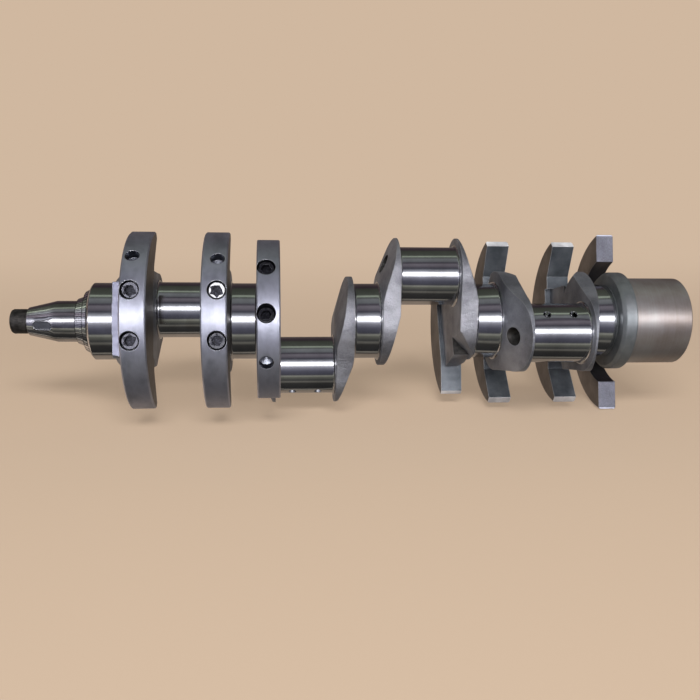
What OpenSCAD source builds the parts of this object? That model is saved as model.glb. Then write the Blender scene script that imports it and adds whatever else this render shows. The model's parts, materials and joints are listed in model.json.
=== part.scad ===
// Five-bearing cross-plane V8 crankshaft with bolt-on counterweights.
// Millimetres. X is the crank axis, with the nose at -X and the rear hub at +X.
// The origin is the centre of the middle main journal. Crankpins 1 and 4 lie
// along +Y and -Y, crankpins 2 and 3 along -Z and +Z. Angles are measured in
// the YZ plane, from +Y towards +Z.

/* [Journals] */
// Distance between neighbouring main bearings
bore_pitch = 111.25; // [110:0.25:113]
// Main journal diameter
main_d = 69.85; // [68:0.05:71]
// Crankpin diameter
pin_d = 53.34; // [52:0.02:55]
// Crank throw, half of the piston stroke
crank_throw = 43; // [41:0.5:44]
// Length of an inner main journal between its webs
main_len = 25; // [23:0.5:26]
// Length of a crankpin between its webs, which carries two rods
pin_len = 55; // [53:0.5:56]
// Fillet radius at the ends of every journal
fillet_r = 2; // [1:0.5:2]

/* [Webs] */
// Web radius about the crank axis where a counterweight is fitted
web_r = 47; // [45:0.5:49]
// Web radius about the crank axis on the two slim middle webs
slim_web_r = 41.5; // [40:0.5:43]
// Web radius about the crank axis on webs 3 and 6
inner_web_r = 38.5; // [38:0.5:41]
// Web radius about a crankpin axis
web_pin_r = 35; // [33:0.5:37]
// Diameter of the lightening bore through each crankpin
lightening_d = 16.5; // [12:0.5:18]
// Distance of the lightening bore from the crankpin axis, outwards
lightening_offset = 11.5; // [9:0.5:12]
// Diameter of the drilled oil passages
oil_d = 4; // [4:0.5:5]

/* [Counterweights] */
// Outer radius of the end counterweights
weight_r = 81.2; // [80:0.2:82]
// Outer radius of counterweights 3 and 6
small_weight_r = 77.2; // [76:0.2:78]
// Outer radius of the rear counterweight
rear_weight_r = 88; // [86:0.2:89]
// Thickness of the end counterweights
weight_t = 21.8; // [20.8:0.2:22.2]
// Thickness of counterweights 3 and 6
small_weight_t = 20.2; // [19.2:0.2:20.6]
// Distance from the crank axis to the milled counterweight seats
seat_d = 37; // [36.5:0.5:39]
// Half the width of the slot that straddles the web
slot_half = 34; // [32:0.5:35]
// Edge break around the counterweight rims
rim_chamfer = 1.2; // [0.5:0.1:2]
// Diameter of the balance drillings
balance_d = 12.5; // [10:0.5:14]

/* [Counterweight fasteners] */
// Screw thread diameter
screw_d = 9.525; // [9:0.025:10]
// Screw head diameter
head_d = 14.3; // [13:0.1:15]
// Screw length below the head
screw_len = 41.3; // [38:0.1:44]
// Width across the flats of the hexagon socket
socket_af = 7.94; // [7:0.02:8]
// Counterbore diameter round a screw head
counterbore_d = 16.2; // [15.2:0.1:16.4]
// Half the distance between the two screws of a counterweight
screw_half = 21; // [19:0.5:22]
// Outer diameter of the ring dowels round the screws
dowel_d = 12.7; // [12.3:0.1:13]
// Length of the ring dowels
dowel_len = 8; // [6:1:10]

/* [Nose and hub] */
// Overall length of the crankshaft
overall_len = 621; // [619:1:626]
// Diameter of the threaded nose stub
stub_d = 22.2; // [21:0.2:23]
// Diameter of the parallel seat behind the nose taper
nose_seat_d = 37.2; // [36:0.2:38]
// Width of the keyway in the nose taper
keyway_w = 7.94; // [6:0.02:8]
// Diameter of the rear hub
hub_d = 81.8; // [80:0.2:84]
// Bolt circle of the tapped holes in the rear hub
hub_pcd = 60; // [56:0.5:62]
// Diameter of the tapped holes in the rear hub
hub_hole_d = 9.525; // [9:0.025:10]

/* [Hidden] */
$fn = 96;

// Journals
main_r = main_d / 2;
pin_r = pin_d / 2;
shoulder_h = 0.8;             // ground shoulder ring at each end of a journal
shoulder_w = 2;               // how far that ring stands out from the journal
bite = 0.5;                   // how far a journal is sunk into its webs
fillet_steps = 5;
main_bearings = [2, 3, 4];    // the ones with a web on both sides

// Webs, numbered 1 to 8 from the nose
weight_webs = [1, 2, 3, 6, 7, 8];
web_t = (bore_pitch - main_len - pin_len) / 2;
main_bevel_r = 45.5;          // where the bevel of the main side starts
main_bevel = 0.43;            // its axial drop per mm of radius
pin_bevel_r = 48;             // the same on the pin side of the slim webs
pin_bevel = 0.3;
weight_bevel_r = 57;          // pin side of the webs with counterweights, about the crankpin
weight_bevel = 0.9;
seat_bevel_r = 41.5;          // main side of the counterweight seats on webs 3 and 6
seat_bevel = 0.5;
side_inset = 0.4;             // how far a web's straight sides lie inside the tangent
slot_gap = 0.1;               // side clearance of the web in the slot

// Directions, in degrees
pin_angle = [0, -90, 90, 180];
weight_lean = 18.4;           // atan(1/3), the balance angle of a cross-plane crank
inner_seat_lean = 35.6;       // seats of counterweights 3 and 6
oil_lead = [46, 39, 46, 53];  // oil holes lead each throw by this angle
oil_hole_x = 12;              // oil holes either side of the pin's middle
main_oil_angle = 45;          // where the oil enters each main journal
oil_chamfer = 2;

// Counterweights lie over their web and past it towards the pin
weight_overhang = 5.5;
small_weight_overhang = 4.2;
tip_d = 14;                   // wing tips of the end counterweights, from the crank axis
tip_chamfer = 5;
root_d = 31;                  // their sloping inner faces end at this distance
root_h = 46;
small_wing_flat = 27;         // straight inner face of counterweights 3 and 6
small_tip_h = 70.3;           // their wings end at this height
small_tip_chamfer = 3;
head_h = 9.525;
head_chamfer = 0.7;
head_seat_d = 65;             // screw head seats, from the crank axis
inner_head_seat_d = 60.5;       // the same on counterweights 3 and 6
socket_depth = 5.2;
fit_gap = 0.1;                // radial clearance round shanks and dowels
tap_extra = 3;                // tapped hole below the screw's end
balance_depth = 8;
balance_tip = 3.5;            // drill point at the bottom of a balance hole
balance_tip_r = 0.6;
weight_balance = [57.4, 55.2, -12.2]; // balance holes, above the weight's side

// Nose, from the tip backwards
nose_x = -318.7;
tip_round = 2.4;
stub_end = -303;
taper_end = -278.4;
nose_seat_end = -259.8;
ring_1_end = -252.3;
ring_2_end = -247.8;
front_main_start = -246.4;
front_main_end = -223.6;
taper_small_r = 12.7;
ring_1_r = [20.6, 23.4];      // both rings widen backwards
ring_2_r = [27.4, 29.8];
front_chamfer = 1.5;
keyway_start = -293.5;        // centres of the keyway's round ends
keyway_end = -284;
keyway_floor = 13.2;
front_cone_r1 = 39;           // shoulder between main 1 and web 1
front_cone_r2 = 49.8;
front_cone_end = -215;
ledge_half = 33;              // half width of the milled ledge in front of web 1
ledge_shift = 0.9;             // how far the ledge's middle lies below the seat's

// Rear end, from the last main journal backwards
rear_main_end = 231.3;
groove_r = 33.4;
collar_start = 233.3;
collar_end = 249;
collar_r = 46.5;
collar_chamfer = 3;
hub_x = nose_x + overall_len;
hub_r = hub_d / 2;
hub_chamfer = 1;
hub_hole_count = 6;
hub_hole_depth = 24;
centre_r = 4;                 // lathe centres in both ends
centre_depth = 7;

// The rear counterweight is an arc bolted to a lug on the collar
rear_weight_x = 235;
rear_weight_t = 17;
rear_seat_d = 58;
rear_head_seat_d = 73;
rear_bore_r = 61.9;           // inner arc
rear_lug_half = 20;
rear_screw_half = 12;
rear_wing_flat = 17;
rear_screw_x = 242.5;

function main_x(m) = (m - 3) * bore_pitch;
function pin_x(p) = (p - 2.5) * bore_pitch;
function web_pin(w) = ceil(w / 2);
// Which way the web goes from its main journal: +1 on odd webs, -1 on even ones
function web_side(w) = w % 2 == 1 ? 1 : -1;
function web_main(w) = web_pin(w) + (w % 2 == 1 ? 0 : 1);
function web_x(w) = main_x(web_main(w)) + web_side(w) * main_len / 2;
function web_mid(w) = web_x(w) + web_side(w) * web_t / 2;
function web_low(w) = web_mid(w) - web_t / 2;
function is_inner(w) = w == 3 || w == 6;
function has_weight(w) = len(search(w, weight_webs)) > 0;
function lean_angle(w, lean) = w <= 3 ? 180 - lean : -lean;
function wing_angle(w) = lean_angle(w, weight_lean);
function seat_angle(w) = lean_angle(w, is_inner(w) ? inner_seat_lean : weight_lean);
function rim_r(w) = is_inner(w) ? small_weight_r : weight_r;
function head_seat(w) = is_inner(w) ? inner_head_seat_d : head_seat_d;
function thickness(w) = is_inner(w) ? small_weight_t : weight_t;
function overhang(w) = is_inner(w) ? small_weight_overhang : weight_overhang;
function weight_low(w) = web_side(w) > 0 ? web_low(w) + web_t + overhang(w) - thickness(w)
    : web_low(w) - overhang(w);
rear_angle = lean_angle(8, weight_lean);
function main_oil_x(m) = m == 1 ? (front_main_start + front_main_end) / 2 : main_x(m);

// Thickens a flat YZ shape from x towards +X
module slab(x, t) {
    translate([x, 0, 0]) rotate([90, 0, 90]) linear_extrude(t) children();
}

// Turns a profile of [radius, x] points about the crank axis
module turned(points) {
    rotate([0, 90, 0]) rotate_extrude() polygon(points);
}

// Frustum about the crank axis, from radius r1 at x to r2 at x + t
module frustum(x, t, r1, r2) {
    translate([x, 0, 0]) rotate([0, 90, 0]) cylinder(h = t, r1 = r1, r2 = r2);
}

// Moves to x and to a crankpin's axis
module at_pin(p) {
    translate([pin_x(p), crank_throw * cos(pin_angle[p - 1]),
        crank_throw * sin(pin_angle[p - 1])]) children();
}

// Stands a shape that points along +Z at distance d along a direction, and h across it
module standing(x, angle, d, h) {
    translate([x, 0, 0]) rotate([angle, 0, 0]) translate([0, d, h]) rotate([-90, 0, 0])
        children();
}

// A straight drilling between two points
module drilling(from, to, r) {
    v = to - from;
    translate(from) rotate([0, acos(v.z / norm(v)), atan2(v.y, v.x)])
        cylinder(r = r, h = norm(v));
}

// Fillet from a shoulder face at x = s down to a journal of radius r, towards -X
function fillet_arc(r, s) = [for (k = [0:fillet_steps]) let (a = 90 * k / fillet_steps)
    [r + fillet_r * (1 - sin(a)), s - fillet_r * (1 - cos(a))]];

// Profile of a journal about its middle, with shoulders and fillets
function journal_profile(r, length) =
    let (e = length / 2, s = e - shoulder_h, rim = r + shoulder_w, arc = fillet_arc(r, s))
    concat([[0, -e - bite], [rim, -e - bite], [rim, -s]],
        [for (p = arc) [p[0], -p[1]]],
        [for (k = [fillet_steps:-1:0]) arc[k]],
        [[rim, s], [rim, e + bite], [0, e + bite]]);

// Pear outline of a web: two circles and straight sides that just cut into both
module pear(w) {
    r1 = is_inner(w) ? inner_web_r : has_weight(w) ? web_r : slim_web_r;
    a = acos((r1 - web_pin_r) / crank_throw);
    side = [cos(a), sin(a)];
    other = [cos(a), -sin(a)];
    pin = [crank_throw, 0];
    c1 = r1 - side_inset;
    c2 = web_pin_r - side_inset;
    rotate(pin_angle[web_pin(w) - 1]) {
        circle(r1);
        translate(pin) circle(web_pin_r);
        polygon([c1 * side, pin + c2 * side, pin + c2 * other, c1 * other]);
    }
}

// Rectangle in a leaning YZ direction: from d0 to d1 along it, half wide each side
module leaning_strip(angle, d0, d1, half) {
    rotate(angle) translate([d0, -half]) square([d1 - d0, 2 * half]);
}

// Inner side of an end counterweight: sloping wings with chamfered tips
module sloping_wings(w) {
    far = weight_r + 1;
    tip_h = sqrt(weight_r ^ 2 - (tip_d + tip_chamfer) ^ 2) + 1;
    half = [[tip_d + tip_chamfer + 1, tip_h], [tip_d, tip_h - tip_chamfer - 1],
        [root_d, root_h]];
    rotate(wing_angle(w)) polygon(concat([[far, -tip_h], [far, tip_h]], half,
        [for (k = [2:-1:0]) [half[k][0], -half[k][1]]]));
}

// The same for counterweights 3 and 6: a straight face with chamfered ends
module straight_wings(w) {
    far = small_weight_r + 1;
    h = small_tip_h;
    low = small_wing_flat;
    c = small_tip_chamfer;
    rotate(wing_angle(w)) polygon([[far, -h], [far, h], [low + c, h], [low, h - c],
        [low, c - h], [low + c, -h]]);
}

// Outline of a counterweight: a disc segment with a slot that straddles the web
module weight_outline(w) {
    r = rim_r(w);
    difference() {
        intersection() {
            circle(r);
            if (is_inner(w))
                straight_wings(w);
            else
                sloping_wings(w);
        }
        leaning_strip(seat_angle(w), -r, seat_d, slot_half);
    }
}

// Solid that bevels the main side of a web
module main_side_bevel(w) {
    far_r = main_bevel_r + web_t / main_bevel;
    if (web_side(w) > 0)
        frustum(web_low(w), web_t, main_bevel_r, far_r);
    else
        frustum(web_low(w), web_t, far_r, main_bevel_r);
}

// Solid that bevels the pin side of a web, about the crankpin
module pin_side_bevel(w, near_r, slope) {
    far_r = near_r + web_t / slope;
    p = web_pin(w);
    translate([0, crank_throw * cos(pin_angle[p - 1]), crank_throw * sin(pin_angle[p - 1])])
        if (web_side(w) > 0)
            frustum(web_low(w), web_t, far_r, near_r);
        else
            frustum(web_low(w), web_t, near_r, far_r);
}

module slim_web(w) {
    intersection() {
        slab(web_low(w), web_t) pear(w);
        main_side_bevel(w);
        pin_side_bevel(w, pin_bevel_r, pin_bevel);
    }
}

// Block under a counterweight, milled flat; bevelled on the main side of webs 3 and 6
module weight_seat(w) {
    far_r = seat_bevel_r + web_t / seat_bevel;
    intersection() {
        slab(web_low(w), web_t)
            leaning_strip(seat_angle(w), 0, seat_d, slot_half - slot_gap);
        if (!is_inner(w))
            frustum(web_low(w), web_t, web_r + seat_d, web_r + seat_d);
        else if (web_side(w) > 0)
            frustum(web_low(w), web_t, seat_bevel_r, far_r);
        else
            frustum(web_low(w), web_t, far_r, seat_bevel_r);
    }
}

// Web that carries a counterweight: pear and seat, cut to clear the wings
module weight_web(w) {
    difference() {
        union() {
            intersection() {
                slab(web_low(w), web_t) pear(w);
                main_side_bevel(w);
                pin_side_bevel(w, weight_bevel_r, weight_bevel);
            }
            weight_seat(w);
        }
        slab(web_low(w) - bite, web_t + 2 * bite) weight_outline(w);
        slab(web_low(w) - bite, web_t + 2 * bite)
            leaning_strip(seat_angle(w), seat_d, web_r + 1, slot_half);
    }
}

// Shoulder in front of web 1, milled flat in line with the counterweight seat
module front_shoulder() {
    corner_r = sqrt(seat_d ^ 2 + (ledge_half + ledge_shift) ^ 2);
    round_end = weight_low(1) - slot_gap;
    difference() {
        union() {
            frustum(front_main_end - bite, front_cone_end - front_main_end + bite,
                front_cone_r1, front_cone_r2);
            frustum(front_cone_end, round_end - front_cone_end,
                front_cone_r2, front_cone_r2);
            intersection() {
                slab(front_main_end, web_x(1) + bite - front_main_end)
                    rotate(wing_angle(1)) translate([0, ledge_shift - ledge_half])
                        square([seat_d, 2 * ledge_half]);
                frustum(front_main_end, web_x(1) + bite - front_main_end,
                    corner_r - front_chamfer, corner_r);
            }
        }
        slab(front_main_end - 2, web_x(1) - front_main_end + 4)
            leaning_strip(wing_angle(1), seat_d, front_cone_r2 + 1, front_cone_r2);
    }
}

module nose() {
    r = stub_d / 2;
    s = nose_seat_d / 2;
    turned([[0, nose_x], [r - tip_round, nose_x], [r - tip_round / 3, nose_x + tip_round / 3],
        [r, nose_x + tip_round], [r, stub_end], [taper_small_r, stub_end],
        [s, taper_end], [s, nose_seat_end],
        [ring_1_r[0], nose_seat_end], [ring_1_r[1], ring_1_end],
        [ring_2_r[0], ring_1_end], [ring_2_r[1], ring_2_end],
        [main_r - front_chamfer, front_main_start],
        [main_r, front_main_start + front_chamfer],
        [main_r, web_x(1)], [0, web_x(1)]]);
}

module rear_end() {
    shoulder_x = web_x(8) + shoulder_h;
    turned(concat([[0, web_x(8) - bite], [main_r + shoulder_w, web_x(8) - bite],
            [main_r + shoulder_w, shoulder_x]],
        [for (p = fillet_arc(main_r, 0)) [p[0], shoulder_x - p[1]]],
        [[main_r, rear_main_end], [groove_r, rear_main_end + main_r - groove_r],
        [groove_r, collar_start], [collar_r - collar_chamfer, collar_start],
        [collar_r, collar_start + collar_chamfer], [collar_r, collar_end - collar_chamfer],
        [hub_r, collar_end], [hub_r, hub_x - hub_chamfer], [hub_r - hub_chamfer, hub_x],
        [0, hub_x]]));
    slab(collar_start, collar_end - collar_start)
        leaning_strip(rear_angle, 0, rear_seat_d, rear_lug_half);
}

module keyway() {
    for (x = [keyway_start, keyway_end])
        standing(x, 180, keyway_floor, 0) cylinder(d = keyway_w, h = nose_seat_d / 2);
    translate([keyway_start, -keyway_floor - nose_seat_d / 2, -keyway_w / 2])
        cube([keyway_end - keyway_start, nose_seat_d / 2, keyway_w]);
}

// Lathe centre, drilled along the axis into an end face at x, side s
module lathe_centre(x, s) {
    if (s > 0)
        frustum(x - centre_depth, centre_depth, 1, centre_r);
    else
        frustum(x, centre_depth, centre_r, 1);
}

// Oil runs from inside the main journal, through the web, to a hole in the crankpin
module oil_way(w) {
    p = web_pin(w);
    a = pin_angle[p - 1];
    b = a - oil_lead[p - 1];
    x = pin_x(p) - web_side(w) * oil_hole_x;
    mouth = [x, crank_throw * cos(a) + pin_r * cos(b), crank_throw * sin(a) + pin_r * sin(b)];
    axis = [main_oil_x(web_main(w)), 0, 0];
    drilling(mouth, axis, oil_d / 2);
    at_pin(p) translate([x - pin_x(p), 0, 0]) rotate([b, 0, 0]) rotate([-90, 0, 0])
        translate([0, 0, pin_r - oil_d])
            cylinder(r1 = oil_d / 2, r2 = oil_d / 2 + oil_chamfer, h = oil_d + oil_chamfer / 2);
}

// Oil inlet of a main journal, drilled past the axis, where the oil ways meet it
module main_oil_hole(x) {
    standing(x, main_oil_angle, -oil_d, 0)
        cylinder(d = oil_d + 1, h = main_r + oil_d + 1);
}

// Tapped hole with a dowel counterbore below a counterweight seat
module tapped_hole(x, angle, seat, h, reach) {
    standing(x, angle, seat - reach, h) cylinder(r = screw_d / 2 + fit_gap, h = reach + 1);
    standing(x, angle, seat - dowel_len / 2, h) cylinder(r = dowel_d / 2 + fit_gap,
        h = dowel_len);
}

module crank_forging() {
    color("dimgray") difference() {
        union() {
            for (m = main_bearings)
                translate([main_x(m), 0, 0]) turned(journal_profile(main_r, main_len));
            for (p = [1:4])
                at_pin(p) turned(journal_profile(pin_r, pin_len));
            for (w = weight_webs)
                weight_web(w);
            slim_web(4);
            slim_web(5);
            front_shoulder();
            nose();
            rear_end();
        }
        for (p = [1:4])
            at_pin(p) rotate([pin_angle[p - 1], 0, 0])
                translate([-bore_pitch / 2 + main_len / 2 - 1, lightening_offset, 0])
                    rotate([0, 90, 0]) cylinder(d = lightening_d, h = bore_pitch - main_len + 2);
        for (w = [1:8])
            oil_way(w);
        for (m = [1:5])
            main_oil_hole(main_oil_x(m));
        for (w = weight_webs)
            for (h = [-screw_half, screw_half])
                tapped_hole(web_mid(w), seat_angle(w), seat_d, h,
                    screw_len + seat_d - head_seat(w) + tap_extra);
        for (h = [-rear_screw_half, rear_screw_half])
            tapped_hole(rear_screw_x, rear_angle, rear_seat_d, h,
                screw_len + rear_seat_d - rear_head_seat_d + tap_extra);
        keyway();
        lathe_centre(nose_x, -1);
        lathe_centre(hub_x, 1);
        for (k = [1:hub_hole_count])
            rotate([360 * k / hub_hole_count, 0, 0])
                translate([hub_x - hub_hole_depth, hub_pcd / 2, 0]) rotate([0, 90, 0])
                    cylinder(d = hub_hole_d, h = hub_hole_depth + 1);
    }
}

// Screw and dowel holes of a counterweight, from its seat out through its rim
module fastener_hole(x, angle, seat, head, h, rim) {
    standing(x, angle, seat - 1, h) cylinder(r = screw_d / 2 + fit_gap, h = rim - seat + 1);
    standing(x, angle, seat - dowel_len / 2, h)
        cylinder(r = dowel_d / 2 + fit_gap, h = dowel_len);
    standing(x, angle, head, h) cylinder(d = counterbore_d, h = rim - head);
}

module chamfered_disc(x, t, r) {
    turned([[0, x], [r - rim_chamfer, x], [r, x + rim_chamfer],
        [r, x + t - rim_chamfer], [r - rim_chamfer, x + t], [0, x + t]]);
}

module balance_hole(x, angle, r) {
    standing(x, angle, r - balance_depth, 0) {
        cylinder(d = balance_d, h = balance_depth + 1);
        translate([0, 0, -balance_tip])
            cylinder(r1 = balance_tip_r, r2 = balance_d / 2, h = balance_tip);
    }
}

module counterweight(w) {
    r = rim_r(w);
    above = weight_balance[min(w, 9 - w) - 1];
    color("silver") difference() {
        intersection() {
            slab(weight_low(w), thickness(w)) weight_outline(w);
            chamfered_disc(weight_low(w), thickness(w), r);
        }
        for (h = [-screw_half, screw_half])
            fastener_hole(web_mid(w), seat_angle(w), seat_d, head_seat(w), h, r);
        balance_hole(web_mid(w), lean_angle(w, above), r);
    }
}

// C-shaped arc with a flat boss in its bore that sits on the collar's lug
module rear_counterweight() {
    r = rear_weight_r;
    x = rear_weight_x;
    color("silver") difference() {
        intersection() {
            slab(x, rear_weight_t) leaning_strip(rear_angle, rear_wing_flat, r + 1, r + 1);
            chamfered_disc(x, rear_weight_t, r);
        }
        difference() {
            frustum(x - 1, rear_weight_t + 2, rear_bore_r, rear_bore_r);
            slab(x - 2, rear_weight_t + 4)
                leaning_strip(rear_angle, rear_seat_d, rear_bore_r + 1, rear_lug_half);
        }
        for (h = [-rear_screw_half, rear_screw_half])
            fastener_hole(rear_screw_x, rear_angle, rear_seat_d, rear_head_seat_d, h, r);
    }
}

// Socket head screw that stands on its head seat, with the thread pointing down
module cap_screw() {
    difference() {
        rotate_extrude() polygon([[0, -screw_len], [screw_d / 2 - 1, -screw_len],
            [screw_d / 2, 1 - screw_len], [screw_d / 2, 0], [head_d / 2, 0],
            [head_d / 2, head_h - head_chamfer], [head_d / 2 - head_chamfer, head_h],
            [0, head_h]]);
        translate([0, 0, head_h - socket_depth])
            cylinder(d = socket_af / cos(30), h = socket_depth + 1, $fn = 6);
    }
}

module ring_dowel() {
    difference() {
        cylinder(d = dowel_d, h = dowel_len);
        translate([0, 0, -1]) cylinder(r = screw_d / 2 + fit_gap, h = dowel_len + 2);
    }
}

module weight_screws(w) {
    color("darkslategray") for (h = [-screw_half, screw_half])
        standing(web_mid(w), seat_angle(w), head_seat(w), h) cap_screw();
}

module weight_dowels(w) {
    color("lightsteelblue") for (h = [-screw_half, screw_half])
        standing(web_mid(w), seat_angle(w), seat_d - dowel_len / 2, h) ring_dowel();
}

module rear_counterweight_screws() {
    color("darkslategray") for (h = [-rear_screw_half, rear_screw_half])
        standing(rear_screw_x, rear_angle, rear_head_seat_d, h) cap_screw();
}

module rear_counterweight_dowels() {
    color("lightsteelblue") for (h = [-rear_screw_half, rear_screw_half])
        standing(rear_screw_x, rear_angle, rear_seat_d - dowel_len / 2, h) ring_dowel();
}

crank_forging();
counterweight(1);  // counterweight_1
counterweight(2);  // counterweight_2
counterweight(3);  // counterweight_3
counterweight(6);  // counterweight_6
counterweight(7);  // counterweight_7
counterweight(8);  // counterweight_8
rear_counterweight();
weight_screws(1);  // counterweight_1_screws
weight_screws(2);  // counterweight_2_screws
weight_screws(3);  // counterweight_3_screws
weight_screws(6);  // counterweight_6_screws
weight_screws(7);  // counterweight_7_screws
weight_screws(8);  // counterweight_8_screws
rear_counterweight_screws();
weight_dowels(1);  // counterweight_1_dowels
weight_dowels(2);  // counterweight_2_dowels
weight_dowels(3);  // counterweight_3_dowels
weight_dowels(6);  // counterweight_6_dowels
weight_dowels(7);  // counterweight_7_dowels
weight_dowels(8);  // counterweight_8_dowels
rear_counterweight_dowels();
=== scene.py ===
"""Looks of a five-bearing V8 crankshaft with bolted counterweights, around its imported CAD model.

Metres. X runs along the crank from the nose to the rear hub, and the origin is the
centre of the middle main journal.
"""

import json
import math

import bpy
import numpy as np
from mathutils import Matrix, Vector


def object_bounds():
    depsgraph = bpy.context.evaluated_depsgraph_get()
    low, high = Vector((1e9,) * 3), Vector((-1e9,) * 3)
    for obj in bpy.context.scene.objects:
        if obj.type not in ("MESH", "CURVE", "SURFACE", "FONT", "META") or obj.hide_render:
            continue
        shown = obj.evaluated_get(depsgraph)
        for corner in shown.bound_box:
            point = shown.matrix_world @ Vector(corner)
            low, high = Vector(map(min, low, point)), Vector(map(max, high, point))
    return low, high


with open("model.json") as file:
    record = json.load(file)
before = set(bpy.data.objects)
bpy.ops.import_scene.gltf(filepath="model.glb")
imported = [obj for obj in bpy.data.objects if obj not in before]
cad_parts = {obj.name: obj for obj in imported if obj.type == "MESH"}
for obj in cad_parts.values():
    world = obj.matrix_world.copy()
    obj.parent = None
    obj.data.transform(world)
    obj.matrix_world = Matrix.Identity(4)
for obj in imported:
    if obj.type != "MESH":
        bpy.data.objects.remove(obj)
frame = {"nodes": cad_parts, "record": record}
CAD_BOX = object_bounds()
NODES = frame["nodes"]
MOUNTS = {m["name"]: m for m in frame["record"]["mounts"]}

# Camera
CAMERA_AT = Vector((-0.08535, -0.70275, 0.1868))
CAMERA_AIM = Vector((-0.01266, 0.0, -0.02857))
CAMERA_ROLL_DEG = 1.44
CAMERA_LENS_MM = 40.0
SENSOR_MM = 36.0


# ---------------------------------------------------------------- frame facts
def mount_at(name):
    return Vector(MOUNTS[name]["pos_m"])


def mount_radius(name):
    return MOUNTS[name]["dims"]["r_mm"] / 1000


MAIN_R = mount_radius("main_journal_3")
PIN_R = mount_radius("crankpin_1")
PITCH = mount_at("main_journal_4").x
PINS = [mount_at(f"crankpin_{k}") for k in range(1, 5)]
STUB_END = mount_at("nose_stub").x + MOUNTS["nose_stub"]["dims"]["length_mm"] / 2000

# Crankshaft sizes between its mounts
MAIN_HALF = 0.0125
PIN_HALF = 0.0275
WEB_T = PITCH / 2 - MAIN_HALF - PIN_HALF
SHOULDER_W = 0.003
FRONT_REACH = 0.0225
COLLAR_START = 0.2315
HUB_START = 0.2488
LEDGE_DEPTH = 0.037
BORE_CENTRE = 0.0545
BORE_R = 0.0084
DRILLING_DEPTH = 0.002
DRILLED_REACH = 0.2

# Nose: where its rings step, and the keyway
NOSE_STEPS = (-0.2598, -0.2523, -0.2478)
KEY_HALF = 0.00397
KEYWAY_FLOOR_Y = -0.0132

# Counterweights
WING_LEAN = math.radians(18.4)
INNER_SEAT_LEAN = math.radians(35.6)
RIM_R = 0.0812
SMALL_RIM_R = 0.0772
REAR_RIM_R = 0.088
RIM_DEPTH = 0.0016
WING_TIP_OUT = 0.032
WING_TIP_R = 0.070
BALANCE_R = 0.062
BALANCE_ACROSS = 0.04

# Screws
HEAD_R = 0.00715
SOCKET_R = 0.0048
SOCKET_DEPTH = 0.0053

# A face this near a limit counts as on it
SKIN = 0.0004
# Most of a face's unit normal that may lie along X: on a counterweight's edge, on a web's
# rim, in a lightening bore and in an oil drilling
EDGE_NX = 0.9
WEB_RIM_NX = 0.5
BORE_NX = 0.3
OIL_NX = 0.2
# Part of a normal along a direction: of a face square to it, and of one turned inwards
FLAT_ON = 0.99
INWARD = -0.8
# Smooth shading welds gaps this small and keeps edges sharper than this angle
WELD_GAP = 0.000002
SHARP_DEG = 28
FLOOR_GAP = 0.0005


def web_range(number):
    """Lowest and highest X of a web."""
    pin = PINS[(number - 1) // 2]
    side = -1 if number % 2 else 1
    near = pin.x + side * PIN_HALF
    far = near + side * WEB_T
    return min(near, far), max(near, far)


def facing_angle(number, lean):
    """Direction of a counterweight: the first three point forwards, the others back."""
    return math.pi - lean if number < 4 else -lean


# ---------------------------------------------------------------- node helpers
class Nodes:
    """Short calls for building one node tree."""

    def __init__(self, tree):
        self.tree = tree
        tree.nodes.clear()

    def link(self, a, b):
        self.tree.links.new(a, b)

    def put(self, value, socket):
        """A value or another node's output goes into a socket."""
        if isinstance(value, bpy.types.NodeSocket):
            self.link(value, socket)
        else:
            socket.default_value = value

    def node(self, kind, inputs=None, **settings):
        n = self.tree.nodes.new(kind)
        for key, value in settings.items():
            setattr(n, key, value)
        for key, value in (inputs or {}).items():
            self.put(value, n.inputs[key])
        return n

    def coordinates(self, space="Object"):
        """X, Y and Z of a texture coordinate."""
        coord = self.node("ShaderNodeTexCoord")
        return self.node("ShaderNodeSeparateXYZ", {0: coord.outputs[space]}).outputs

    def math(self, operation, a, b=0.0):
        return self.node("ShaderNodeMath", {0: a, 1: b}, operation=operation).outputs[0]

    def ramp(self, factor, *stops):
        """A colour ramp from (position, colour) stops."""
        made = self.node("ShaderNodeValToRGB", {0: factor})
        points = made.color_ramp.elements
        while len(points) < len(stops):
            points.new(0.5)
        for point, (at, colour) in zip(points, stops):
            point.position = at
            point.color = (*colour, 1)
        return made.outputs[0]

    def spread(self, factor, low, high, start=0.3, end=0.7):
        """Maps a noise value onto a range of plain numbers."""
        made = self.node("ShaderNodeMapRange", {0: factor, 1: start, 2: end, 3: low, 4: high})
        return made.outputs[0]


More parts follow.
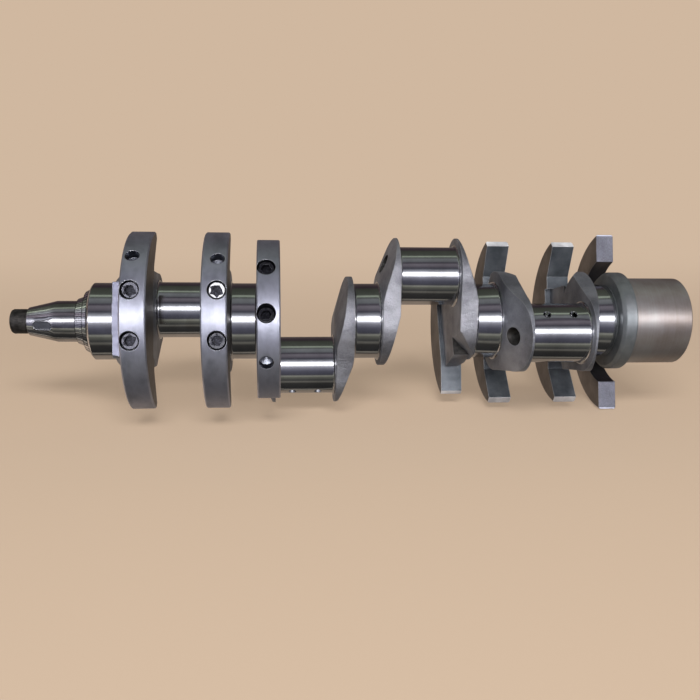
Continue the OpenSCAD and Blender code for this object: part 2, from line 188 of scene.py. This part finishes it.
class Surface(Nodes):
    """One material's node tree round a Principled shader."""

    def __init__(self, name):
        self.material = bpy.data.materials.new(name)
        self.material.use_nodes = True
        super().__init__(self.material.node_tree)
        output = self.node("ShaderNodeOutputMaterial")
        self.shader = self.node("ShaderNodeBsdfPrincipled")
        self.link(self.shader.outputs[0], output.inputs["Surface"])

    def set(self, **values):
        """Sets shader sockets by name, with underscores for spaces."""
        for key, value in values.items():
            self.put(value, self.shader.inputs[key.replace("_", " ")])

    def position(self, scale=(1, 1, 1)):
        """Position on the object, scaled along each axis."""
        coord = self.node("ShaderNodeTexCoord")
        inputs = {"Vector": coord.outputs["Object"], "Scale": scale}
        return self.node("ShaderNodeMapping", inputs).outputs[0]

    def radial(self, axial_scale, radial_scale):
        """Coordinates that change only along X and with the distance from the crank axis."""
        x, y, z = self.coordinates()
        flat = self.node("ShaderNodeCombineXYZ", {1: y, 2: z})
        far = self.node("ShaderNodeVectorMath", {0: flat.outputs[0]}, operation="LENGTH")
        along = self.math("MULTIPLY", x, axial_scale)
        out = self.math("MULTIPLY", far.outputs["Value"], radial_scale)
        return self.node("ShaderNodeCombineXYZ", {0: along, 1: out}).outputs[0]

    def noise(self, vector, scale, detail=4.0, rough=0.55):
        inputs = {"Vector": vector, "Scale": scale, "Detail": detail, "Roughness": rough}
        return self.node("ShaderNodeTexNoise", inputs).outputs[0]

    def blend(self, factor, a, b):
        inputs = {0: factor, 6: a, 7: b}
        return self.node("ShaderNodeMix", inputs, data_type="RGBA").outputs[2]

    def bump(self, height, depth, strength, normal=None):
        inputs = {"Height": height, "Distance": depth, "Strength": strength}
        if normal is not None:
            inputs["Normal"] = normal
        return self.node("ShaderNodeBump", inputs).outputs[0]

    def soft_edge(self, radius):
        return self.node("ShaderNodeBevel", {"Radius": radius}, samples=6).outputs[0]


def painted_edge_highlight(n, radius=0.0009):
    """A painted highlight mask: white on edges and black elsewhere, from how far a rounded normal
    leans away.
    """
    plain = n.node("ShaderNodeNewGeometry").outputs["Normal"]
    both = {0: n.soft_edge(radius), 1: plain}
    same = n.node("ShaderNodeVectorMath", both, operation="DOT_PRODUCT")
    return n.spread(same.outputs["Value"], 1.0, 0.0, 0.85, 0.995)


# ---------------------------------------------------------------- materials
def ground_journal():
    """Polished journal steel, with fine grinding lines around it and faint oil stains."""
    n = Surface("ground_journal")
    lines = n.noise(n.position((1, 0.02, 0.02)), 2600, 3.0)
    stain = n.noise(n.position(), 38, 5.0)
    tone = n.ramp(
        stain, (0.3, (0.42, 0.42, 0.43)), (0.62, (0.55, 0.55, 0.57)), (0.8, (0.46, 0.44, 0.43))
    )
    n.set(Base_Color=tone, Metallic=1.0, Roughness=n.spread(lines, 0.07, 0.14))
    n.set(Normal=n.bump(lines, 0.000004, 0.6, n.soft_edge(0.0003)))
    return n.material


def polished_nose():
    """Bright turned nose, with turning rings, handling marks and painted shade lines where it
    steps.
    """
    n = Surface("polished_nose")
    rings = n.noise(n.radial(1, 0.2), 1500, 4.0)
    marks = n.noise(n.position((1, 3, 3)), 60, 6.0)
    tone = n.ramp(marks, (0.32, (0.40, 0.39, 0.39)), (0.6, (0.58, 0.57, 0.59)))
    x, _, _ = n.coordinates()
    # Painted shade: a dark line in the crease at each step
    for step in NOSE_STEPS:
        off = n.math("ABSOLUTE", n.math("SUBTRACT", x, step))
        tone = n.blend(n.spread(off, 0.85, 0.0, 0.0003, 0.0008), tone, (0.03, 0.03, 0.035, 1))
    n.set(Base_Color=tone, Metallic=1.0, Roughness=n.spread(rings, 0.07, 0.15))
    n.set(Normal=n.bump(rings, 0.00001, 0.7, n.soft_edge(0.0003)))
    return n.material


def dark_thread():
    """Blackened, oily thread."""
    n = Surface("dark_thread")
    grime = n.noise(n.position(), 260, 6.0)
    tone = n.ramp(grime, (0.35, (0.025, 0.023, 0.022)), (0.65, (0.075, 0.07, 0.066)))
    n.set(Base_Color=tone, Metallic=0.85, Roughness=n.spread(grime, 0.45, 0.65))
    n.set(Normal=n.bump(grime, 0.0001, 0.5))
    return n.material


def forged(name, dark, light, rough_low, rough_high, relief):
    """Forged and shot-blasted skin: a coarse swell, fine grain and a painted highlight on its
    edges.
    """
    n = Surface(name)
    at = n.position()
    swell = n.noise(at, 75, 3.0)
    grain = n.noise(at, 900, 5.0, 0.7)
    patch = n.noise(at, 30, 4.0)
    mixed = n.math("ADD", n.math("MULTIPLY", patch, 0.7), n.math("MULTIPLY", grain, 0.3))
    tone = n.ramp(mixed, (0.38, dark), (0.62, light))
    # Painted highlight: the edges are blended towards light grey
    tone = n.blend(n.math("MULTIPLY", painted_edge_highlight(n), 0.55), tone, (0.62, 0.61, 0.62, 1))
    height = n.math("ADD", swell, n.math("MULTIPLY", grain, 0.35))
    n.set(Base_Color=tone, Metallic=0.94, Roughness=n.spread(grain, rough_low, rough_high))
    n.set(Normal=n.bump(height, relief, 0.8, n.soft_edge(0.0011)))
    return n.material


def turned_rim():
    """Satin turned rim of a counterweight, with tool lines that run around it."""
    n = Surface("turned_rim")
    lines = n.noise(n.position((1, 0.015, 0.015)), 1900, 4.0)
    stain = n.noise(n.position((1.6, 1, 1)), 55, 6.0)
    tone = n.ramp(
        stain, (0.3, (0.36, 0.37, 0.44)), (0.55, (0.50, 0.51, 0.60)), (0.8, (0.44, 0.45, 0.53))
    )
    # Painted highlight: the rim's edges are blended towards near white
    tone = n.blend(n.math("MULTIPLY", painted_edge_highlight(n), 0.5), tone, (0.8, 0.8, 0.82, 1))
    n.set(Base_Color=tone, Metallic=0.97, Roughness=n.spread(lines, 0.36, 0.50))
    n.set(Normal=n.bump(lines, 0.00002, 0.8, n.soft_edge(0.0006)))
    return n.material


def sawn_face(name, dark, light, rough, metal=1.0):
    """Flat milled or sawn side of a counterweight, dulled by oil, with a painted highlight on its
    edges.
    """
    n = Surface(name)
    strokes = n.noise(n.position((0.25, 1, 0.12)), 700, 4.0)
    cloud = n.noise(n.position(), 45, 5.0)
    tone = n.ramp(cloud, (0.35, dark), (0.68, light))
    # Painted highlight: the edges are blended towards near white
    tone = n.blend(n.math("MULTIPLY", painted_edge_highlight(n), 0.7), tone, (0.8, 0.8, 0.82, 1))
    n.set(Base_Color=tone, Metallic=metal, Roughness=n.spread(strokes, rough, rough + 0.14))
    n.set(Normal=n.bump(strokes, 0.00003, 0.8, n.soft_edge(0.0007)))
    return n.material


def sparkling_cut():
    """Bright granular end face, as left by a coarse saw or a blast."""
    n = Surface("sparkling_cut")
    grains = n.noise(n.position(), 1500, 3.0, 0.8)
    cloud = n.noise(n.position(), 80, 3.0)
    tone = n.ramp(cloud, (0.3, (0.13, 0.13, 0.155)), (0.7, (0.21, 0.21, 0.245)))
    tone = n.blend(n.spread(grains, 0, 0.6, 0.5, 0.65), tone, (0.5, 0.5, 0.56, 1))
    n.set(Base_Color=tone, Metallic=1.0, Roughness=n.spread(grains, 0.42, 0.6))
    n.set(Normal=n.bump(grains, 0.0003, 0.8, n.soft_edge(0.0006)))
    return n.material


def collar_skin():
    """Dull grey phosphated collar."""
    n = Surface("collar_skin")
    cloud = n.noise(n.position(), 55, 6.0)
    rings = n.noise(n.radial(1, 0.4), 900, 4.0)
    tone = n.ramp(cloud, (0.35, (0.20, 0.215, 0.225)), (0.68, (0.32, 0.335, 0.345)))
    n.set(Base_Color=tone, Metallic=0.9, Roughness=n.spread(rings, 0.4, 0.52))
    n.set(Normal=n.bump(rings, 0.00003, 0.7, n.soft_edge(0.0012)))
    return n.material


def hub_skin():
    """Turned hub, browned by heat and old oil, with visible turning bands."""
    n = Surface("hub_skin")
    rings = n.noise(n.radial(1, 0.3), 420, 5.0)
    fine = n.noise(n.radial(1, 0.3), 2200, 3.0)
    cloud = n.noise(n.position(), 26, 6.0)
    mixed = n.math("ADD", n.math("MULTIPLY", rings, 0.2), n.math("MULTIPLY", cloud, 0.8))
    tone = n.ramp(
        mixed, (0.36, (0.26, 0.22, 0.20)), (0.5, (0.34, 0.305, 0.29)), (0.66, (0.40, 0.385, 0.38))
    )
    n.set(Base_Color=tone, Metallic=0.88, Roughness=n.spread(fine, 0.33, 0.45))
    n.set(Normal=n.bump(fine, 0.00001, 0.8, n.soft_edge(0.0006)))
    return n.material


def screw_steel(name, scale, tones, rough, relief, edge_highlight=None):
    """Screw steel. Where the last argument is given, its edges get a painted highlight: how strong,
    and in what colour.
    """
    n = Surface(name)
    grime = n.noise(n.position(), scale, 5.0)
    tone = n.ramp(grime, *tones)
    if edge_highlight:
        highlight_strength, highlight_colour = edge_highlight
        # Painted highlight on the screw's edges
        tone = n.blend(n.math("MULTIPLY", painted_edge_highlight(n, 0.0004), highlight_strength), tone, (*highlight_colour, 1))
    n.set(Base_Color=tone, Metallic=1.0, Roughness=n.spread(grime, *rough))
    n.set(Normal=n.bump(grime, relief, 0.5, n.soft_edge(0.0003)))
    return n.material


def socket_painted_shade():
    """Inside of a screw's socket, painted near black as shade, with a few lighter flecks."""
    n = Surface("socket_painted_shade")
    grime = n.noise(n.position(), 900, 4.0)
    tone = n.ramp(
        grime, (0.42, (0.01, 0.01, 0.012)), (0.60, (0.035, 0.035, 0.045)), (0.72, (0.16, 0.16, 0.2))
    )
    n.set(Base_Color=tone, Metallic=0.9, Roughness=n.spread(grime, 0.3, 0.5))
    return n.material


def bore_painted_shade():
    """Drilled bore, painted near black as shade inside it."""
    n = Surface("bore_painted_shade")
    grime = n.noise(n.position(), 300, 4.0)
    tone = n.ramp(grime, (0.3, (0.02, 0.02, 0.02)), (0.7, (0.07, 0.065, 0.06)))
    n.set(Base_Color=tone, Metallic=0.7, Roughness=n.spread(grime, 0.35, 0.55))
    return n.material


# ---------------------------------------------------------------- faces by place
class Faces:
    """Centres and normals of a mesh's faces, for choosing materials by place."""

    def __init__(self, mesh):
        count = len(mesh.polygons)
        centre = np.empty(count * 3)
        normal = np.empty(count * 3)
        mesh.polygons.foreach_get("center", centre)
        mesh.polygons.foreach_get("normal", normal)
        self.x, self.y, self.z = centre.reshape(-1, 3).T
        self.nx, self.ny, self.nz = normal.reshape(-1, 3).T
        self.rho = np.hypot(self.y, self.z)
        self.count = count

    def from_axis(self, at):
        return np.hypot(self.y - at.y, self.z - at.z)

    def between(self, low, high):
        return (self.x > low) & (self.x < high)

    def along(self, angle):
        """Distance and normal along a direction in the YZ plane, from +Y towards +Z."""
        c, s = math.cos(angle), math.sin(angle)
        return self.y * c + self.z * s, self.ny * c + self.nz * s


def paint(node, base, rules):
    """Gives a CAD node a base material and others on the faces that each rule picks."""
    mesh = NODES[node].data
    mesh.materials.clear()
    mesh.materials.append(base)
    index = np.zeros(len(mesh.polygons), dtype=np.int32)
    for number, (material, chosen) in enumerate(rules, start=1):
        mesh.materials.append(material)
        index[chosen] = number
    mesh.polygons.foreach_set("material_index", index)


def smooth_node(obj):
    """Welds the seams between CAD faces and shades round surfaces smooth."""
    weld = obj.modifiers.new("weld", "WELD")
    weld.merge_threshold = WELD_GAP
    obj.data.shade_smooth()
    edges = obj.modifiers.new("sharp", "EDGE_SPLIT")
    edges.split_angle = math.radians(SHARP_DEG)


def on_journals(f):
    """Faces of the main journals and crankpins, with their ground shoulders."""
    reach = MAIN_HALF + SKIN
    chosen = f.between(-2 * PITCH - FRONT_REACH, -2 * PITCH + reach)
    for k in range(-1, 3):
        chosen |= f.between(k * PITCH - reach, k * PITCH + reach)
    chosen &= f.rho < MAIN_R + SHOULDER_W
    for pin in PINS:
        near = f.between(pin.x - PIN_HALF - SKIN, pin.x + PIN_HALF + SKIN)
        chosen |= near & (f.from_axis(pin) < PIN_R + SHOULDER_W)
    return chosen


def in_drillings(f):
    """Faces of the lightening bores through the crankpins and of the oil drillings."""
    bores = np.zeros(f.count, bool)
    oil = f.between(-DRILLED_REACH, DRILLED_REACH) & (f.rho < MAIN_R - DRILLING_DEPTH)
    oil &= abs(f.nx) < OIL_NX
    for pin in PINS:
        centre = Vector((0, pin.y, pin.z)).normalized() * BORE_CENTRE
        reach = PITCH / 2 - MAIN_HALF
        near = f.between(pin.x - reach, pin.x + reach)
        bores |= near & (f.from_axis(centre) < BORE_R) & (abs(f.nx) < BORE_NX)
        beside = f.between(pin.x - PIN_HALF, pin.x + PIN_HALF)
        from_pin = f.from_axis(pin)
        oil &= ~(beside & (from_pin < PIN_R + SHOULDER_W) & (from_pin > PIN_R - SKIN))
    return bores | oil


def in_keyway(f):
    """Floor and walls of the keyway in the nose taper."""
    across = abs(f.z) < KEY_HALF + SKIN
    floor = (abs(f.y - KEYWAY_FLOOR_Y) < SKIN) & (f.ny < -FLAT_ON)
    wall = (f.y < 0) & (abs(f.ny) < 1 - EDGE_NX)
    return across & (floor | wall)


def paint_forging(mats):
    f = Faces(NODES["crank_forging"].data)
    bright_rim = np.zeros(f.count, bool)
    for web in (4, 5, 6):
        low, high = web_range(web)
        bright_rim |= f.between(low - SKIN, high + SKIN) & (abs(f.nx) < WEB_RIM_NX)
    journal = on_journals(f) & (~bright_rim | (f.rho < MAIN_R + SKIN))
    depth, facing = f.along(facing_angle(1, WING_LEAN))
    ledge = (f.x < web_range(1)[1]) & (facing > FLAT_ON) & (abs(depth - LEDGE_DEPTH) < SKIN)
    nose = f.x < -2 * PITCH - FRONT_REACH
    stub = f.x < STUB_END + SKIN
    paint(
        "crank_forging",
        mats["forged"],
        [
            (mats["forged_bright"], bright_rim),
            (mats["journal"], journal),
            (mats["nose"], nose),
            (mats["keyway"], nose & ~stub & in_keyway(f)),
            (mats["thread"], stub),
            (mats["collar"], f.x > COLLAR_START),
            (mats["hub"], f.x > HUB_START),
            (mats["milled"], ledge),
            # Painted shade inside the lightening bores and oil drillings
            (mats["bore"], in_drillings(f)),
        ],
    )


def paint_weight(node, wing, seat, rim_r, mats, cut):
    """A counterweight has a turned rim, dull sides, flat inner faces and wing tips painted bright
    as a highlight.
    """
    f = Faces(NODES[node].data)
    out, facing = f.along(wing)
    across, _ = f.along(seat + math.pi / 2)
    rim = (f.rho > rim_r - RIM_DEPTH) & (abs(f.nx) < EDGE_NX)
    edgewise = (abs(f.nx) < EDGE_NX) & ~rim
    inner = edgewise & (facing < INWARD)
    # Wing-tip chamfers, which get a painted highlight
    tip = edgewise & ~inner & (out < WING_TIP_OUT) & (f.rho > WING_TIP_R)
    balance = (abs(across) > BALANCE_ACROSS) & (f.rho > BALANCE_R)
    drilled = edgewise & ~inner & ~tip & balance
    wall = edgewise & ~inner & ~tip & ~drilled
    paint(
        node,
        mats["side"],
        [
            (mats["wall"], wall),
            (mats["drilled"], drilled),
            (mats["tip"], tip),
            (mats["rim"], rim),
            (mats[cut], inner),
        ],
    )


def paint_screws(node, seat, head, upper, mats):
    """Two socket head screws, of which the upper one may differ, with painted shade in their
    sockets.
    """
    f = Faces(NODES[node].data)
    out, _ = f.along(seat)
    across, _ = f.along(seat + math.pi / 2)
    middle = (f.x.max() + f.x.min()) / 2
    spacing = (across.max() + across.min()) / 2 + (across.max() - HEAD_R)
    from_axis = np.hypot(f.x - middle, abs(across) - spacing)
    socket = (out > out.max() - SOCKET_DEPTH) & (from_axis < SOCKET_R)
    paint(node, head, [(upper, across < 0), (mats["socket"], socket)])


# ---------------------------------------------------------------- stage
def build_floor():
    """A pale floor that curves up into a plain backdrop."""
    low = CAD_BOX[0].z - FLOOR_GAP
    front, back, half, rise, bend = -6.0, 3.2, 9.0, 6.0, 1.2
    profile = [(front, low), (back - bend, low)]
    steps = 24
    for k in range(1, steps + 1):
        a = 0.5 * math.pi * k / steps
        profile.append((back - bend + bend * math.sin(a), low + bend * (1 - math.cos(a))))
    profile.append((back, low + rise))
    points = [(side * half, y, z) for y, z in profile for side in (-1, 1)]
    faces = [(2 * k, 2 * k + 1, 2 * k + 3, 2 * k + 2) for k in range(len(profile) - 1)]
    mesh = bpy.data.meshes.new("floor")
    mesh.from_pydata(points, [], faces)
    mesh.shade_smooth()
    floor = bpy.data.objects.new("floor", mesh)
    bpy.context.scene.collection.objects.link(floor)
    material = bpy.data.materials.new("floor_paint")
    material.use_nodes = True
    n = Nodes(material.node_tree)
    paper = n.node("ShaderNodeBsdfDiffuse", {"Color": (0.378, 0.288, 0.212, 1)})
    glow = n.node("ShaderNodeEmission", {"Color": (0.63, 0.479, 0.352, 1), "Strength": 1.0})
    # The paint fades into an even glow behind the crank
    _, y, _ = n.coordinates()
    fade = n.node(
        "ShaderNodeMapRange",
        {0: y, 1: 0.05, 2: 0.9, 3: 0.45, 4: 1.0},
        interpolation_type="SMOOTHSTEP",
    )
    shaders = {0: fade.outputs[0], 1: paper.outputs[0], 2: glow.outputs[0]}
    mix = n.node("ShaderNodeMixShader", shaders)
    n.node("ShaderNodeOutputMaterial", {"Surface": mix.outputs[0]})
    mesh.materials.append(material)
    floor.visible_glossy = False


def area_light(name, at, width, height, power, colour, mirrored=True):
    """A soft box that points at the crank."""
    data = bpy.data.lights.new(name, "AREA")
    data.shape = "RECTANGLE"
    data.size = width
    data.size_y = height
    data.energy = power
    data.color = colour
    light = bpy.data.objects.new(name, data)
    light.location = at
    light.rotation_euler = (-Vector(at)).to_track_quat("-Z", "Y").to_euler()
    light.visible_glossy = mirrored
    bpy.context.scene.collection.objects.link(light)


def build_lights():
    area_light("key_core", (0.1, -1.75, 0.66), 3.6, 0.20, 20, (1, 0.99, 1))
    area_light("key_glow", (0.1, -1.80, 0.66), 3.6, 0.62, 9, (0.95, 0.96, 1))
    area_light("top_soft", (-0.1, -1.45, 1.55), 1.2, 0.5, 60, (1, 1, 1), mirrored=False)


# What the polished steel mirrors round the crank axis: elevation in degrees, colour.
# Zero is level towards the camera, 90 is straight up and 180 is level behind.
ROOM_BANDS = (
    (-180, (0.30, 0.24, 0.19)),
    (-112, (0.34, 0.27, 0.21)),
    (-102, (0.03, 0.03, 0.03)),
    (-96, (0.40, 0.36, 0.30)),
    (-92, (0.03, 0.03, 0.03)),
    (-62, (0.05, 0.048, 0.045)),
    (-54, (0.22, 0.21, 0.18)),
    (-48, (0.06, 0.06, 0.06)),
    (-34, (0.18, 0.18, 0.15)),
    (-28, (0.40, 0.40, 0.34)),
    (-24, (0.08, 0.08, 0.10)),
    (-8, (0.13, 0.13, 0.17)),
    (2, (0.28, 0.28, 0.34)),
    (12, (0.60, 0.60, 0.67)),
    (28, (0.62, 0.63, 0.69)),
    (36, (0.30, 0.31, 0.35)),
    (42, (0.06, 0.06, 0.08)),
    (52, (0.20, 0.18, 0.21)),
    (60, (0.25, 0.23, 0.26)),
    (65, (0.07, 0.06, 0.08)),
    (72, (0.20, 0.21, 0.22)),
    (84, (0.26, 0.27, 0.28)),
    (90, (0.09, 0.10, 0.09)),
    (96, (0.55, 0.62, 0.50)),
    (101, (0.10, 0.11, 0.09)),
    (128, (0.07, 0.075, 0.06)),
    (140, (0.05, 0.035, 0.045)),
    (180, (0.14, 0.11, 0.10)),
)
# Slats of light towards the nose end
SLATS_ROUND = 30


def build_world():
    """A dim room with soft bands of light that run along the crank."""
    world = bpy.data.worlds.new("room")
    bpy.context.scene.world = world
    world.use_nodes = True
    n = Nodes(world.node_tree)
    x, y, z = n.coordinates("Generated")
    angle = n.math("ARCTAN2", z, n.math("MULTIPLY", y, -1.0))
    turn = n.spread(angle, 0.0, 1.0, -math.pi, math.pi)
    bands = n.ramp(turn, *(((degrees + 180) / 360, colour) for degrees, colour in ROOM_BANDS))
    wave = n.math("SINE", n.math("MULTIPLY", angle, SLATS_ROUND))
    slats = n.spread(wave, 0.3, 3.4, -0.4, 0.4)
    towards_nose = n.spread(x, 0.0, 1.0, -0.45, -0.6)
    strength = n.node("ShaderNodeMix", {0: towards_nose, 2: 1.0, 3: slats})
    sky = n.node("ShaderNodeBackground", {0: bands, 1: strength.outputs[0]})
    n.node("ShaderNodeOutputWorld", {0: sky.outputs[0]})


def build_camera():
    data = bpy.data.cameras.new("camera")
    data.lens = CAMERA_LENS_MM
    data.sensor_width = SENSOR_MM
    data.clip_start = 0.01
    camera = bpy.data.objects.new("camera", data)
    look = (CAMERA_AIM - CAMERA_AT).to_track_quat("-Z", "Y").to_matrix().to_4x4()
    roll = Matrix.Rotation(math.radians(CAMERA_ROLL_DEG), 4, "Z")
    camera.matrix_world = Matrix.Translation(CAMERA_AT) @ look @ roll
    bpy.context.scene.collection.objects.link(camera)
    bpy.context.scene.camera = camera


# ---------------------------------------------------------------- making it
build_camera()
build_lights()
build_world()
build_floor()
bpy.context.scene.view_settings.view_transform = "Standard"

MATS = {
    "forged": forged("forged", (0.20, 0.205, 0.23), (0.44, 0.45, 0.49), 0.48, 0.66, 0.0012),
    "forged_bright": forged(
        "forged_bright", (0.22, 0.22, 0.245), (0.54, 0.54, 0.58), 0.42, 0.64, 0.0014
    ),
    "journal": ground_journal(),
    "nose": polished_nose(),
    "thread": dark_thread(),
    "collar": collar_skin(),
    "hub": hub_skin(),
    "milled": sawn_face("milled_seat", (0.31, 0.31, 0.40), (0.42, 0.42, 0.53), 0.46),
    "keyway": sawn_face("keyway_cut", (0.10, 0.105, 0.12), (0.17, 0.175, 0.20), 0.40),
    "bore": bore_painted_shade(),
    "rim": turned_rim(),
    "side": sawn_face("weight_side", (0.15, 0.135, 0.13), (0.24, 0.22, 0.21), 0.42),
    "wall": sawn_face("weight_wall", (0.06, 0.06, 0.07), (0.13, 0.13, 0.15), 0.40),
    "inner": sawn_face("weight_inner", (0.075, 0.085, 0.095), (0.185, 0.20, 0.22), 0.48, 0.8),
    "sparkle": sparkling_cut(),
    "drilled": sawn_face("drilled_steel", (0.16, 0.17, 0.20), (0.30, 0.31, 0.35), 0.24),
    # Painted highlight: a bright copy of the sawn steel for the wing-tip chamfers
    "tip": sawn_face("wing_tip", (0.42, 0.42, 0.44), (0.85, 0.85, 0.87), 0.30, 0.5),
    # Painted shade inside the screw sockets
    "socket": socket_painted_shade(),
    "screw": screw_steel(
        "screw_black",
        500,
        ((0.35, (0.03, 0.03, 0.035)), (0.65, (0.10, 0.10, 0.11))),
        (0.28, 0.42),
        0.00004,
        # Painted highlight on the edges: strength and colour
        (1.0, (0.55, 0.55, 0.57)),
    ),
    "screw_grey": screw_steel(
        "screw_grey",
        600,
        ((0.35, (0.07, 0.07, 0.085)), (0.65, (0.15, 0.15, 0.175))),
        (0.32, 0.46),
        0.00004,
        # Painted highlight on the edges: strength and colour
        (0.7, (0.7, 0.7, 0.73)),
    ),
    "screw_bright": screw_steel(
        "screw_bright",
        420,
        ((0.3, (0.26, 0.26, 0.27)), (0.65, (0.46, 0.46, 0.47))),
        (0.25, 0.4),
        0.00003,
    ),
}

for cad_node in NODES.values():
    smooth_node(cad_node)

paint_forging(MATS)
for number in (1, 2, 3, 6, 7, 8):
    small = number in (3, 6)
    wing = facing_angle(number, WING_LEAN)
    seat = facing_angle(number, INNER_SEAT_LEAN if small else WING_LEAN)
    name = f"counterweight_{number}"
    paint_weight(name, wing, seat, SMALL_RIM_R if small else RIM_R, MATS, "inner")
    head = MATS["screw_grey" if number == 1 else "screw"]
    upper = MATS["screw_bright"] if number == 2 else head
    paint_screws(f"{name}_screws", seat, head, upper, MATS)
    paint(f"{name}_dowels", MATS["screw_bright"], [])
rear = facing_angle(8, WING_LEAN)
paint_weight("rear_counterweight", rear, rear, REAR_RIM_R, MATS, "sparkle")
paint_screws("rear_counterweight_screws", rear, MATS["screw"], MATS["screw"], MATS)
paint("rear_counterweight_dowels", MATS["screw_bright"], [])
